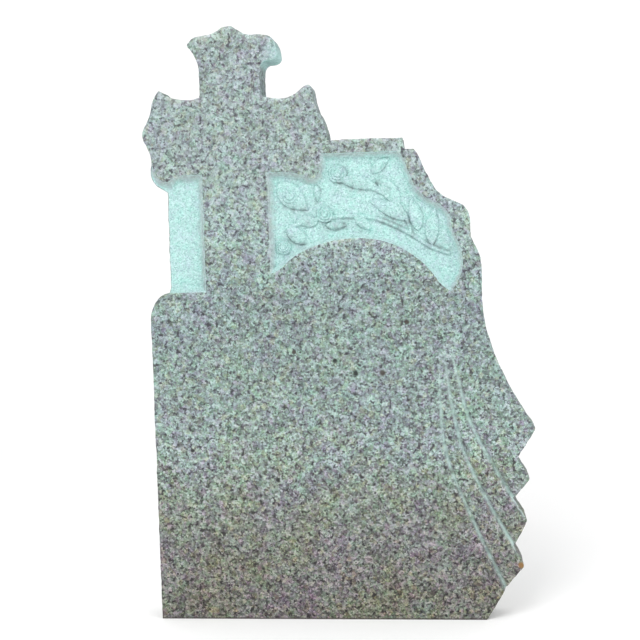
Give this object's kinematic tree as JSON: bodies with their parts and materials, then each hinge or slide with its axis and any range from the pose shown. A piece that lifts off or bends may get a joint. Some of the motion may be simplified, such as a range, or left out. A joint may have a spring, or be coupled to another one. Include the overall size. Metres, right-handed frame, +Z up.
{
  "type": "grave monument",
  "caption": "Upright granite grave stele carved as one slab with a raised cross, an arched polished tablet, a sunk ground with a rose spray and cloth folds down one side.",
  "frame": {"origin": "middle of the bounding box at the flat underside, on which the stone stands", "axes": "+Z up, the carved front looks towards -Y, +X towards the side with the cloth folds"},
  "size_m": [0.77, 0.08, 1.2],
  "materials": {
    "granite": "grey speckled granite: polished on the face, sandblasted light in the sunk ground and the grooves, sawn on the back and sides"
  },
  "bodies": {
    "root": {"headstone": "granite"}
  },
  "joints": []
}
